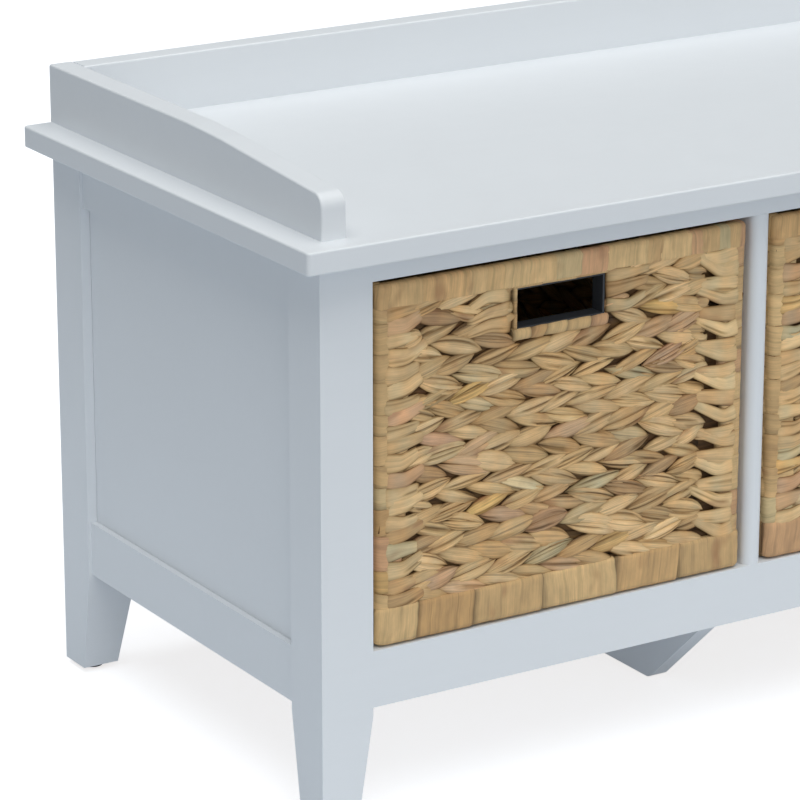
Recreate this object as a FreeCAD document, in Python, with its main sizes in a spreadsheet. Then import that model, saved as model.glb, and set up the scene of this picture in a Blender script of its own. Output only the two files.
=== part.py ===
import FreeCAD, Part
import os
import re

import Sketcher
from FreeCAD import Placement, Rotation, Vector

# Entryway bench: a painted frame-and-panel carcass with three cubbies, a seat slab
# with a low gallery on three sides, and a braided basket on a wire frame in each cubby.
# Millimetres. X runs along the bench, the front faces -Y, Z is up, and the origin is
# on the floor under the middle of the seat slab.

DIMENSIONS = {
    # the whole bench
    "seat_height": 425,
    "gallery_height": 43,
    "frame_length": 1062,
    "frame_depth": 382,
    "end_overhang": 23.5,
    "front_overhang": 25,
    # seat slab
    "slab_thickness": 16,
    "slab_corner_radius": 3,
    "slab_edge_radius": 1.5,
    # gallery rails that stand on the slab
    "gallery_thickness": 19,
    "gallery_inset": 22.5,
    "gallery_rear_inset": 0.5,
    "gallery_front_setback": 20,
    "gallery_front_height": 31,
    "gallery_level_depth": 205.5,
    "gallery_bend_depth": 46,
    "gallery_bend_drop": 1.8,
    "gallery_nose_radius": 10,
    "gallery_edge_radius": 1.5,
    # legs
    "leg_size": 41,
    "foot_size": 29,
    "taper_height": 79.5,
    "glide_height": 4,
    "glide_radius": 8,
    # rails and panels
    "rail_thickness": 18,
    "rail_recess": 2.8,
    "front_rail_step": 0.4,
    "upper_rail_height": 41,
    "lower_rail_bottom": 83,
    "lower_rail_top": 124.5,
    "front_rail_bottom": 390,
    "apron_bottom": 85.5,
    "panel_recess": 8,
    "panel_thickness": 9,
    "groove_depth": 6,
    "groove_play": 0.2,
    # shelf, dividers and foot boards
    "shelf_top": 127,
    "shelf_thickness": 15,
    "divider_thickness": 15,
    "divider_nose_radius": 7.3,
    "cubby_count": 3,
    "foot_board_clearance": 1,
    "foot_board_setback": 117,
    "foot_board_slope": 0.94,
    "foot_board_corner_radius": 9,
    # cleats, dowels and screws
    "cleat_size": 20,
    "rail_dowel_radius": 4,
    "rail_dowel_length": 30,
    "board_dowel_radius": 3,
    "board_dowel_length": 20,
    "dowel_edge": 10,
    "dowel_edge_grooved": 17,
    "dowel_play": 0.1,
    "screw_radius": 2,
    "screw_head_radius": 4,
    "screw_head_height": 2.5,
    "screw_play": 0.15,
    "gallery_screw_length": 38,
    "divider_screw_length": 45,
    "cleat_screw_length": 30,
    # baskets
    "basket_width": 307,
    "basket_depth": 345,
    "basket_height": 258.5,
    "basket_lift": 0.5,
    "basket_setback": 2,
    "basket_wall": 9,
    "basket_floor": 8,
    "rim_height": 19,
    "base_height": 25,
    "corner_width": 23,
    "wire_radius": 2,
    "wire_play": 0.1,
    "hand_hole_width": 74,
    "hand_hole_height": 30,
    "hand_hole_offset": -5,
    "hand_hole_wall": 1.5,
    "hand_hole_depth": 12.5,
    "hand_hole_recess": 1.5,
}

# Where fastenings stand, as shares of the run that they are in.
# The gallery's back rail is counted from its middle.
BOARD_DOWELS = (0.2, 0.8)
DIVIDER_SCREWS = (0.03, 0.97)
CLEAT_SCREWS = (0.15, 0.85)
GALLERY_END_SCREWS = (0.12, 0.5, 0.88)
GALLERY_BACK_SCREWS = (-0.8, -0.4, 0, 0.4, 0.8)

# Lengths worked out from the driving ones, as expressions in their names.
DERIVED = {
    "end_x": "frame_length / 2",
    "leg_in_x": "end_x - leg_size",
    "front_y": "(front_overhang - frame_depth) / 2",
    "rear_y": "(front_overhang + frame_depth) / 2",
    "leg_front_y": "front_y + leg_size",
    "leg_rear_y": "rear_y - leg_size",
    "slab_under": "seat_height - slab_thickness",
    "slab_end_x": "end_x + end_overhang",
    "slab_front_y": "front_y - front_overhang",
    "gallery_out_x": "slab_end_x - gallery_inset",
    "gallery_in_x": "gallery_out_x - gallery_thickness",
    "gallery_rear_y": "rear_y - gallery_rear_inset",
    "gallery_front_y": "slab_front_y + gallery_front_setback",
    "gallery_bend_y": "gallery_rear_y - gallery_level_depth",
    "gallery_top": "seat_height + gallery_height",
    "gallery_nose_z": "seat_height + gallery_front_height",
    "rail_out_x": "end_x - rail_recess",
    "rail_in_x": "rail_out_x - rail_thickness",
    "rail_out_y": "rear_y - rail_recess",
    "rail_in_y": "rail_out_y - rail_thickness",
    "front_rail_y": "front_y + front_rail_step",
    "front_rail_in_y": "front_rail_y + rail_thickness",
    "panel_out_x": "end_x - panel_recess",
    "panel_in_x": "panel_out_x - panel_thickness",
    "panel_out_y": "rear_y - panel_recess",
    "panel_in_y": "panel_out_y - panel_thickness",
    "upper_rail_bottom": "slab_under - upper_rail_height",
    "groove_bottom": "lower_rail_top - groove_depth",
    "groove_top": "upper_rail_bottom + groove_depth",
    "shelf_under": "shelf_top - shelf_thickness",
    "cubby_width": "(2 * leg_in_x - (cubby_count - 1) * divider_thickness) / cubby_count",
    "cubby_pitch": "cubby_width + divider_thickness",
    "cleat_in_x": "rail_in_x - cleat_size",
    "basket_bottom": "shelf_top + basket_lift",
    "basket_top": "basket_bottom + basket_height",
    "basket_front_y": "front_y + basket_setback",
    "basket_rear_y": "basket_front_y + basket_depth",
    "rim_bottom": "basket_top - rim_height",
    "base_top": "basket_bottom + base_height",
    "wire_inset": "basket_wall / 2",
    "rim_wire_z": "basket_top - rim_height / 2",
    "base_wire_z": "basket_bottom + base_height / 2",
    "hand_hole_bottom": "rim_bottom - hand_hole_height",
}

WORD = re.compile(r"[a-z][a-z0-9_]*")

doc = FreeCAD.newDocument("entryway_bench")
sheet = doc.addObject("Spreadsheet::Sheet", "Dimensions")
nodes = {}


# ---- the sheet and the expressions that read it


def fill_sheet():
    """Put each driving dimension in a cell of its own, with its name as the alias."""
    for row, (alias, size) in enumerate(DIMENSIONS.items(), start=1):
        sheet.set(f"A{row}", alias)
        sheet.set(f"B{row}", str(size))
        sheet.setAlias(f"B{row}", alias)
    doc.recompute()


def bound(text):
    """The expression, with derived lengths spelt out and cells of the sheet named."""

    def spell(match):
        word = match.group()
        if word in DERIVED:
            return f"({WORD.sub(spell, DERIVED[word])})"
        return f"Dimensions.{word}"

    return WORD.sub(spell, str(text))


def size_of(text):
    """The present value of an expression."""
    return float(sheet.evalExpression(bound(text)))


def flipped(span):
    """A pair of bounds, mirrored through zero."""
    low, high = span
    return f"-({high})", f"-({low})"


def sided(side, span):
    """A pair of bounds along X, as given on the right (+1) and mirrored on the left."""
    return span if side > 0 else flipped(span)


# ---- shapes


def keep(name, piece):
    """Name a finished sub-part."""
    piece.Label = name
    nodes[name] = piece
    return piece


def box(name, x, y, z):
    """A box between pairs of bounds along X, Y and Z."""
    piece = doc.addObject("Part::Box", name)
    for side, axis, (low, high) in (("Length", "x", x), ("Width", "y", y), ("Height", "z", z)):
        piece.setExpression(side, bound(f"({high}) - ({low})"))
        piece.setExpression(f"Placement.Base.{axis}", bound(low))
    return piece


TURNS = {
    "x": Rotation(Vector(0, 1, 0), 90),
    "y": Rotation(Vector(1, 0, 0), -90),
    "z": Rotation(),
}


def along(piece, axis, x, y, z):
    """Turn a round piece's own Z to an axis and put its base at a point."""
    piece.Placement = Placement(Vector(), TURNS[axis])
    for letter, place in zip("xyz", (x, y, z)):
        piece.setExpression(f"Placement.Base.{letter}", bound(place))
    return piece


def cylinder(name, axis, radius, length, x, y, z):
    """A cylinder from a base point towards +X, +Y or +Z."""
    piece = doc.addObject("Part::Cylinder", name)
    piece.setExpression("Radius", bound(radius))
    piece.setExpression("Height", bound(length))
    return along(piece, axis, x, y, z)


def ball(name, radius, x, y, z):
    """A sphere about a point."""
    piece = doc.addObject("Part::Sphere", name)
    piece.setExpression("Radius", bound(radius))
    return along(piece, "z", x, y, z)


def fuse(name, pieces):
    """One solid from touching pieces."""
    piece = doc.addObject("Part::MultiFuse", name)
    piece.Shapes = pieces
    return piece


def group(name, pieces):
    """Separate solids of one kind, as one sub-part."""
    piece = doc.addObject("Part::Compound", name)
    piece.Links = pieces
    return piece


def cut(name, blank, tool):
    """The blank without the tool."""
    piece = doc.addObject("Part::Cut", name)
    piece.Base = blank
    piece.Tool = tool
    return piece


PLANES = {"XY": ("z", 1), "YZ": ("x", 1), "XZ": ("y", -1)}


def outline(body, plane, points, place):
    """A closed sketch of straight sides on one of the body's planes, moved along its normal."""
    sketch = body.newObject("Sketcher::SketchObject", f"{body.Name}_outline")
    role = f"{plane}_Plane"
    origin = next(item for item in body.Origin.OriginFeatures if item.Role == role)
    sketch.AttachmentSupport = [(origin, "")]
    sketch.MapMode = "FlatFace"
    sketch.setExpression("AttachmentOffset.Base.z", bound(place))
    corners = [Vector(size_of(u), size_of(v), 0) for u, v in points]
    for start, end in zip(corners, corners[1:] + corners[:1]):
        sketch.addGeometry(Part.LineSegment(start, end))
    for side in range(len(points)):
        following = (side + 1) % len(points)
        sketch.addConstraint(Sketcher.Constraint("Coincident", side, 2, following, 1))
    for side, (u, v) in enumerate(points):
        for kind, letter, text in (("DistanceX", "u", u), ("DistanceY", "v", v)):
            rule = Sketcher.Constraint(kind, -1, 1, side, 1, size_of(text))
            sketch.renameConstraint(sketch.addConstraint(rule), f"{letter}{side}")
            sketch.setExpression(f"Constraints.{letter}{side}", bound(text))
    return sketch


def pad(body, plane, points, span):
    """Extrude an outline between two bounds along its plane's axis."""
    low, high = span
    sign = PLANES[plane][1]
    sketch = outline(body, plane, points, low if sign > 0 else f"-({high})")
    feature = body.newObject("PartDesign::Pad", f"{body.Name}_pad")
    feature.Profile = sketch
    feature.setExpression("Length", bound(f"({high}) - ({low})"))
    doc.recompute()
    return feature


def pocket(body, plane, points, span):
    """Cut an outline out of the body between two bounds along its plane's axis."""
    low, high = span
    sign = PLANES[plane][1]
    before = body.Shape.Volume
    sketch = outline(body, plane, points, high if sign > 0 else f"-({low})")
    feature = body.newObject("PartDesign::Pocket", f"{body.Name}_pocket")
    feature.Profile = sketch
    feature.setExpression("Length", bound(f"({high}) - ({low})"))
    doc.recompute()
    if body.Shape.Volume > before - 1:
        raise ValueError(f"a pocket of {body.Name} cuts nothing")
    return feature


def ease(body, radius, chosen):
    """Round the edges of the body's solid that a test chooses."""
    tip = body.Tip
    edges = [f"Edge{i}" for i, edge in enumerate(tip.Shape.Edges, start=1) if chosen(edge)]
    feature = body.newObject("PartDesign::Fillet", f"{body.Name}_easing")
    feature.Base = (tip, edges)
    feature.setExpression("Radius", bound(radius))
    doc.recompute()
    return feature


def runs_along(edge, axis):
    """Whether an edge is a straight line along an axis."""
    if not isinstance(edge.Curve, Part.Line):
        return False
    return abs(getattr(edge.Curve.Direction, axis)) > 0.999


def lies_at(edge, axis, text):
    """Whether the whole edge lies at one place along an axis."""
    place = size_of(text)
    return all(abs(getattr(vertex.Point, axis) - place) < 0.01 for vertex in edge.Vertexes)


def rectangle(u, v):
    """The corners of a rectangle between two pairs of bounds."""
    return [(u[0], v[0]), (u[1], v[0]), (u[1], v[1]), (u[0], v[1])]


def new_body(name):
    return doc.addObject("PartDesign::Body", name)


# ---- seat and gallery


def seat_slab():
    """The seat: one slab with rounded corners and eased edges."""
    body = new_body("seat_slab_blank")
    plan = rectangle(("-slab_end_x", "slab_end_x"), ("slab_front_y", "rear_y"))
    pad(body, "XY", plan, ("slab_under", "seat_height"))
    ease(body, "slab_corner_radius", lambda edge: runs_along(edge, "z"))
    levels = ("slab_under", "seat_height")
    ease(body, "slab_edge_radius", lambda edge: any(lies_at(edge, "z", level) for level in levels))
    return body


def gallery_side(name, side):
    """A rail at one end of the seat, level at the back and sloping down to a rounded nose."""
    body = new_body(f"{name}_blank")
    profile = [
        ("gallery_front_y", "seat_height"),
        ("gallery_rear_y", "seat_height"),
        ("gallery_rear_y", "gallery_top"),
        ("gallery_bend_y", "gallery_top"),
        ("gallery_bend_y - gallery_bend_depth", "gallery_top - gallery_bend_drop"),
        ("gallery_front_y", "gallery_nose_z"),
    ]
    pad(body, "YZ", profile, sided(side, ("gallery_in_x", "gallery_out_x")))
    nose = lambda edge: runs_along(edge, "x") and lies_at(edge, "z", "gallery_nose_z")
    ease(body, "gallery_nose_radius", nose)
    foot = size_of("seat_height")
    faces = ("gallery_in_x", "gallery_out_x")
    long_edge = lambda edge: (
        any(lies_at(edge, "x", sided(side, (face, face))[0]) for face in faces)
        and edge.BoundBox.ZMax > foot + 1
        and not lies_at(edge, "y", "gallery_rear_y")
    )
    ease(body, "gallery_edge_radius", long_edge)
    return body


def gallery_back():
    """The rail along the back of the seat, between the two side rails."""
    body = new_body("gallery_back_blank")
    profile = rectangle(
        ("gallery_rear_y - gallery_thickness", "gallery_rear_y"), ("seat_height", "gallery_top")
    )
    pad(body, "YZ", profile, ("-gallery_in_x", "gallery_in_x"))
    top = lambda edge: runs_along(edge, "x") and lies_at(edge, "z", "gallery_top")
    ease(body, "gallery_edge_radius", top)
    return body


# ---- carcass


def leg(name, side, end):
    """A square leg; its two inner faces taper to the foot, and grooves hold the panels.

    side is +1 on the right; end is -1 at the front and +1 at the back.
    """
    body = new_body(f"{name}_blank")
    across = sided(side, ("leg_in_x", "end_x"))
    deep = ("front_y", "leg_front_y") if end < 0 else ("leg_rear_y", "rear_y")
    pad(body, "XY", rectangle(across, deep), ("glide_height", "slab_under"))
    inner_x = across[0] if side > 0 else across[1]
    inner_y = deep[1] if end < 0 else deep[0]
    slimmer = "leg_size - foot_size"
    foot_x = f"({inner_x}) + ({side}) * ({slimmer})"
    foot_y = f"({inner_y}) + ({end}) * ({slimmer})"
    taper_x = [(inner_x, "glide_height"), (foot_x, "glide_height"), (inner_x, "taper_height")]
    taper_y = [(inner_y, "glide_height"), (foot_y, "glide_height"), (inner_y, "taper_height")]
    pocket(body, "XZ", taper_x, deep)
    pocket(body, "YZ", taper_y, across)
    upright = ("groove_bottom - groove_play", "groove_top + groove_play")
    panel_x = sided(side, ("panel_in_x - groove_play", "panel_out_x + groove_play"))
    cut_y = f"({inner_y}) + ({end}) * (groove_depth + groove_play)"
    span_y = (cut_y, inner_y) if end < 0 else (inner_y, cut_y)
    pocket(body, "XY", rectangle(panel_x, span_y), upright)
    if end > 0:
        cut_x = f"({inner_x}) + ({side}) * (groove_depth + groove_play)"
        span_x = (inner_x, cut_x) if side > 0 else (cut_x, inner_x)
        panel_y = ("panel_in_y - groove_play", "panel_out_y + groove_play")
        pocket(body, "XY", rectangle(span_x, panel_y), upright)
    return body


def grooved_rail(name, plane, thick, panel, upright, groove_up, span):
    """A rail whose inner long edge has a groove for the panel that it frames.

    thick and panel are the bounds of the rail and of the panel through the rail's thickness,
    upright is from its lower to its upper edge, and groove_up says which edge is grooved.
    """
    bottom, top = upright
    low, high = f"({panel[0]}) - groove_play", f"({panel[1]}) + groove_play"
    body = new_body(f"{name}_blank")
    if groove_up:
        floor = f"({top}) - groove_depth - groove_play"
        edge = [(high, top), (high, floor), (low, floor), (low, top)]
        profile = [(thick[0], bottom), (thick[1], bottom), (thick[1], top), *edge, (thick[0], top)]
    else:
        floor = f"({bottom}) + groove_depth + groove_play"
        edge = [(low, bottom), (low, floor), (high, floor), (high, bottom)]
        profile = [(thick[0], bottom), *edge, (thick[1], bottom), (thick[1], top), (thick[0], top)]
    pad(body, plane, profile, span)
    return body


def side_rail(name, side, upper):
    """A rail between the two legs of one end."""
    thick = sided(side, ("rail_in_x", "rail_out_x"))
    panel = sided(side, ("panel_in_x", "panel_out_x"))
    upright = ("upper_rail_bottom", "slab_under") if upper else ("lower_rail_bottom", "lower_rail_top")
    span = ("leg_front_y", "leg_rear_y")
    return grooved_rail(name, "XZ", thick, panel, upright, not upper, span)


def rear_rail(name, upper):
    """A rail between the two back legs."""
    thick = ("rail_in_y", "rail_out_y")
    panel = ("panel_in_y", "panel_out_y")
    upright = ("upper_rail_bottom", "slab_under") if upper else ("lower_rail_bottom", "lower_rail_top")
    span = ("-leg_in_x", "leg_in_x")
    return grooved_rail(name, "YZ", thick, panel, upright, not upper, span)


def side_panel(name, side):
    """The board that closes one end, let into the grooves round it."""
    return box(
        name,
        sided(side, ("panel_in_x", "panel_out_x")),
        ("leg_front_y - groove_depth", "leg_rear_y + groove_depth"),
        ("groove_bottom", "groove_top"),
    )


def shelf_blank():
    """The bottom board, notched at its corners round the legs."""
    body = new_body("shelf_blank")
    plan = [
        ("-leg_in_x", "front_rail_in_y"),
        ("leg_in_x", "front_rail_in_y"),
        ("leg_in_x", "leg_front_y"),
        ("rail_in_x", "leg_front_y"),
        ("rail_in_x", "leg_rear_y"),
        ("leg_in_x", "leg_rear_y"),
        ("leg_in_x", "rail_in_y"),
        ("-leg_in_x", "rail_in_y"),
        ("-leg_in_x", "leg_rear_y"),
        ("-rail_in_x", "leg_rear_y"),
        ("-rail_in_x", "leg_front_y"),
        ("-leg_in_x", "leg_front_y"),
    ]
    pad(body, "XY", plan, ("shelf_under", "shelf_top"))
    return body


def board_span(centre_x):
    """The bounds along X of a divider, or of the foot board under it."""
    return f"({centre_x}) - divider_thickness / 2", f"({centre_x}) + divider_thickness / 2"


def divider_blank(name, centre_x):
    """An upright board with a half-round front edge, notched under the two top rails."""
    body = new_body(f"{name}_blank")
    profile = [
        ("front_y", "shelf_top"),
        ("panel_in_y", "shelf_top"),
        ("panel_in_y", "upper_rail_bottom"),
        ("rail_in_y", "upper_rail_bottom"),
        ("rail_in_y", "slab_under"),
        ("front_rail_in_y", "slab_under"),
        ("front_rail_in_y", "front_rail_bottom"),
        ("front_y", "front_rail_bottom"),
    ]
    pad(body, "YZ", profile, board_span(centre_x))
    front = lambda edge: runs_along(edge, "z") and lies_at(edge, "y", "front_y")
    ease(body, "divider_nose_radius", front)
    return body


def foot_board_blank(name, centre_x):
    """A board on edge under the shelf; its ends slant in and down to rounded corners."""
    body = new_body(f"{name}_blank")
    rise = "(shelf_under - foot_board_clearance)"
    toe = "front_y + foot_board_setback"
    heel = "rail_in_y - foot_board_setback + rail_thickness"
    reach = "foot_board_setback - rail_thickness - front_rail_step"
    shoulder = f"foot_board_clearance + foot_board_slope * ({reach})"
    profile = [
        ("front_rail_in_y", shoulder),
        (toe, "foot_board_clearance"),
        (heel, "foot_board_clearance"),
        ("rail_in_y", shoulder),
        ("rail_in_y", f"foot_board_clearance + {rise}"),
        ("front_rail_in_y", f"foot_board_clearance + {rise}"),
    ]
    pad(body, "YZ", profile, board_span(centre_x))
    toes = lambda edge: runs_along(edge, "x") and lies_at(edge, "z", "foot_board_clearance")
    ease(body, "foot_board_corner_radius", toes)
    return body


# ---- fastenings


def rail_joints():
    """Every dowel between a rail and a leg: its axis and the middle of its length."""
    half_rail = "rail_thickness / 2"
    side_x = f"rail_in_x + {half_rail}"
    rear_y = f"rail_in_y + {half_rail}"
    front_y = f"front_rail_y + {half_rail}"
    upper = ("upper_rail_bottom + dowel_edge_grooved", "slab_under - dowel_edge")
    lower = ("lower_rail_bottom + dowel_edge", "lower_rail_top - dowel_edge_grooved")
    apron = ("apron_bottom + dowel_edge", "shelf_top - dowel_edge")
    joints = []
    for side in (1, -1):
        for height in (*upper, *lower):
            for leg_y in ("leg_front_y", "leg_rear_y"):
                joints.append(("y", f"{side} * ({side_x})", leg_y, height))
            joints.append(("x", f"{side} * leg_in_x", rear_y, height))
        for height in (*apron, "(front_rail_bottom + slab_under) / 2"):
            joints.append(("x", f"{side} * leg_in_x", front_y, height))
    return joints


def board_joints(centres):
    """Every dowel between a divider and the slab, and between a foot board and the shelf."""
    joints = []
    for centre_x in centres:
        for share in BOARD_DOWELS:
            y = f"front_rail_in_y + {share} * (rail_in_y - front_rail_in_y)"
            joints += [("z", centre_x, y, level) for level in ("slab_under", "shelf_under")]
    return joints


def dowels(name, size, joints, play):
    """A straight pin across each joint; play makes the matching holes instead."""
    pins = []
    for number, (axis, x, y, z) in enumerate(joints, start=1):
        half = f"({size}_length / 2 + {play})"
        base = {"x": x, "y": y, "z": z}
        base[axis] = f"({base[axis]}) - {half}"
        radius, length = f"{size}_radius + {play}", f"2 * {half}"
        pins.append(cylinder(f"{name}_{number}", axis, radius, length, **base))
    return group(name, pins)


def screw(name, length, x, y, z, play):
    """A countersunk screw that points up, with its head's flat face at z."""
    shank = cylinder(f"{name}_shank", "z", f"screw_radius + {play}", f"({length}) + {play}", x, y, z)
    head = doc.addObject("Part::Cone", f"{name}_head")
    head.setExpression("Radius1", bound(f"screw_head_radius + {play}"))
    head.setExpression("Radius2", bound(f"screw_radius + {play}"))
    head.setExpression("Height", bound("screw_head_height"))
    along(head, "z", x, y, z)
    return fuse(name, [shank, head])


def screws(name, length, places, play):
    """One screw at each place."""
    pieces = [
        screw(f"{name}_{number}", length, x, y, z, play)
        for number, (x, y, z) in enumerate(places, start=1)
    ]
    return group(name, pieces)


def gallery_screw_places():
    """Under the slab, below the middle of each gallery rail."""
    middle_x = "(gallery_in_x + gallery_out_x) / 2"
    middle_y = "gallery_rear_y - gallery_thickness / 2"
    places = []
    for share in GALLERY_END_SCREWS:
        y = f"gallery_front_y + {share} * (gallery_rear_y - gallery_front_y)"
        places += [(f"{side} * ({middle_x})", y, "slab_under") for side in (1, -1)]
    for share in GALLERY_BACK_SCREWS:
        places.append((f"{share} * gallery_in_x", middle_y, "slab_under"))
    return places


def divider_screw_places(centres):
    """Under the shelf, below each divider and beside its foot board's ends."""
    places = []
    for centre_x in centres:
        for share in DIVIDER_SCREWS:
            y = f"front_rail_in_y + {share} * (rail_in_y - front_rail_in_y)"
            places.append((centre_x, y, "shelf_under"))
    return places


def cleat_screw_places(level):
    """Under the cleats of both ends, at one height."""
    places = []
    for side in (1, -1):
        for share in CLEAT_SCREWS:
            y = f"leg_front_y + {share} * (leg_rear_y - leg_front_y)"
            places.append((f"{side} * (rail_in_x - cleat_size / 2)", y, level))
    return places


def cleat(name, side, top):
    """A square strip along the inside of a side rail."""
    return box(
        name,
        sided(side, ("cleat_in_x", "rail_in_x")),
        ("leg_front_y", "leg_rear_y"),
        (f"({top}) - cleat_size", top),
    )


def glides():
    """A low round glide under the middle of each foot."""
    discs = []
    for side in (1, -1):
        for end in (1, -1):
            x = f"{side} * (end_x - foot_size / 2)"
            y = "rear_y - foot_size / 2" if end > 0 else "front_y + foot_size / 2"
            name = f"glide_{len(discs) + 1}"
            discs.append(cylinder(name, "z", "glide_radius", "glide_height", x, y, 0))
    return group("glides", discs)


# ---- baskets


def mitred_ring(name, centre_x, upright):
    """Four straight wraps round the basket, mitred at the corners: front, right, rear, left."""
    low_x, high_x = f"({centre_x}) - basket_width / 2", f"({centre_x}) + basket_width / 2"
    low_y, high_y = "basket_front_y", "basket_rear_y"
    outer = [(low_x, low_y), (high_x, low_y), (high_x, high_y), (low_x, high_y)]
    inner = [
        (f"({low_x}) + basket_wall", f"{low_y} + basket_wall"),
        (f"({high_x}) - basket_wall", f"{low_y} + basket_wall"),
        (f"({high_x}) - basket_wall", f"{high_y} - basket_wall"),
        (f"({low_x}) + basket_wall", f"{high_y} - basket_wall"),
    ]
    bars = []
    for side in range(4):
        following = (side + 1) % 4
        body = new_body(f"{name}_{side + 1}")
        plan = [outer[side], outer[following], inner[following], inner[side]]
        pad(body, "XY", plan, upright)
        bars.append(body)
    return group(name, bars)


def corner_wraps(name, centre_x):
    """Four angle-shaped wraps up the corners, between the rim and the base."""
    wraps = []
    for side in (1, -1):
        for end in (1, -1):
            edge_x = f"({centre_x}) + {side} * basket_width / 2"
            edge_y = "basket_rear_y" if end > 0 else "basket_front_y"

            def at(inset_x, inset_y):
                return f"({edge_x}) - {side} * {inset_x}", f"({edge_y}) - {end} * {inset_y}"

            plan = [
                at(0, 0),
                at("corner_width", 0),
                at("corner_width", "basket_wall"),
                at("basket_wall", "basket_wall"),
                at("basket_wall", "corner_width"),
                at(0, "corner_width"),
            ]
            body = new_body(f"{name}_{len(wraps) + 1}")
            pad(body, "XY", plan, ("base_top", "rim_bottom"))
            wraps.append(body)
    return group(name, wraps)


def wire_frame(name, centre_x, play):
    """Two rings and four posts of wire inside the wraps; play makes their channel instead."""
    radius = f"wire_radius + {play}"
    low_x = f"({centre_x}) - basket_width / 2 + wire_inset"
    low_y = "basket_front_y + wire_inset"
    run_x, run_y = "basket_width - 2 * wire_inset", "basket_depth - 2 * wire_inset"
    corners_x = (low_x, f"{low_x} + {run_x}")
    corners_y = (low_y, f"{low_y} + {run_y}")
    wires = []
    for z in ("base_wire_z", "rim_wire_z"):
        for y in corners_y:
            wires.append(cylinder(f"{name}_wire", "x", radius, run_x, low_x, y, z))
        for x in corners_x:
            wires.append(cylinder(f"{name}_wire", "y", radius, run_y, x, low_y, z))
            wires += [ball(f"{name}_bend", radius, x, y, z) for y in corners_y]
    for x in corners_x:
        for y in corners_y:
            rise = "rim_wire_z - base_wire_z"
            wires.append(cylinder(f"{name}_wire", "z", radius, rise, x, y, "base_wire_z"))
    return fuse(name, wires)


def hand_hole_span(centre_x, inset):
    """The bounds along X of the hand hole, drawn in by an inset."""
    middle = f"({centre_x}) + hand_hole_offset"
    half = f"(hand_hole_width / 2 - {inset})"
    return f"{middle} - {half}", f"{middle} + {half}"


def front_weave(name, centre_x):
    """The braided front panel, with the hand hole open to the rim above it."""
    hole = hand_hole_span(centre_x, 0)
    low_x = f"({centre_x}) - basket_width / 2 + corner_width"
    high_x = f"({centre_x}) + basket_width / 2 - corner_width"
    profile = [
        (low_x, "base_top"),
        (high_x, "base_top"),
        (high_x, "rim_bottom"),
        (hole[1], "rim_bottom"),
        (hole[1], "hand_hole_bottom"),
        (hole[0], "hand_hole_bottom"),
        (hole[0], "rim_bottom"),
        (low_x, "rim_bottom"),
    ]
    body = new_body(f"{name}_panel")
    pad(body, "XZ", profile, ("basket_front_y", "basket_front_y + basket_wall"))
    return body


def side_weave(name, centre_x):
    """The braided panels of the two sides and the rear."""
    inside = ("basket_front_y + corner_width", "basket_rear_y - corner_width")
    upright = ("base_top", "rim_bottom")
    panels = []
    for side in (1, -1):
        edge = f"({centre_x}) + {side} * basket_width / 2"
        inner = f"({centre_x}) + {side} * (basket_width / 2 - basket_wall)"
        span = (inner, edge) if side > 0 else (edge, inner)
        panels.append(box(f"{name}_{len(panels) + 1}", span, inside, upright))
    span = (
        f"({centre_x}) - basket_width / 2 + corner_width",
        f"({centre_x}) + basket_width / 2 - corner_width",
    )
    rear = ("basket_rear_y - basket_wall", "basket_rear_y")
    panels.append(box(f"{name}_3", span, rear, upright))
    return group(name, panels)


def floor_weave(name, centre_x):
    """The braided floor, inside the base wraps."""
    return box(
        name,
        (
            f"({centre_x}) - basket_width / 2 + basket_wall",
            f"({centre_x}) + basket_width / 2 - basket_wall",
        ),
        ("basket_front_y + basket_wall", "basket_rear_y - basket_wall"),
        ("basket_bottom", "basket_bottom + basket_floor"),
    )


def hand_hole_insert(name, centre_x):
    """The sleeve that lines the hand hole and stands a little into the basket."""
    body = new_body(f"{name}_sleeve")
    face = "basket_front_y + hand_hole_recess"
    deep = (face, f"{face} + hand_hole_depth")
    upright = ("hand_hole_bottom", "rim_bottom")
    inner = ("hand_hole_bottom + hand_hole_wall", "rim_bottom - hand_hole_wall")
    pad(body, "XZ", rectangle(hand_hole_span(centre_x, 0), upright), deep)
    pocket(body, "XZ", rectangle(hand_hole_span(centre_x, "hand_hole_wall"), inner), deep)
    return body


def basket(name, centre_x):
    """Every piece of one basket; the wraps have channels for the wire."""
    channel = wire_frame(f"{name}_channel", centre_x, "wire_play")
    keep(f"{name}_wire", wire_frame(f"{name}_wire", centre_x, 0))
    wraps = {
        "rim": mitred_ring(f"{name}_rim_blank", centre_x, ("rim_bottom", "basket_top")),
        "base": mitred_ring(f"{name}_base_blank", centre_x, ("basket_bottom", "base_top")),
        "corners": corner_wraps(f"{name}_corners_blank", centre_x),
    }
    for kind, blank in wraps.items():
        keep(f"{name}_{kind}", cut(f"{name}_{kind}", blank, channel))
    keep(f"{name}_front", front_weave(f"{name}_front", centre_x))
    keep(f"{name}_sides", side_weave(f"{name}_sides", centre_x))
    keep(f"{name}_floor", floor_weave(f"{name}_floor", centre_x))
    keep(f"{name}_hand_hole", hand_hole_insert(f"{name}_hand_hole", centre_x))


# ---- the bench


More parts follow.
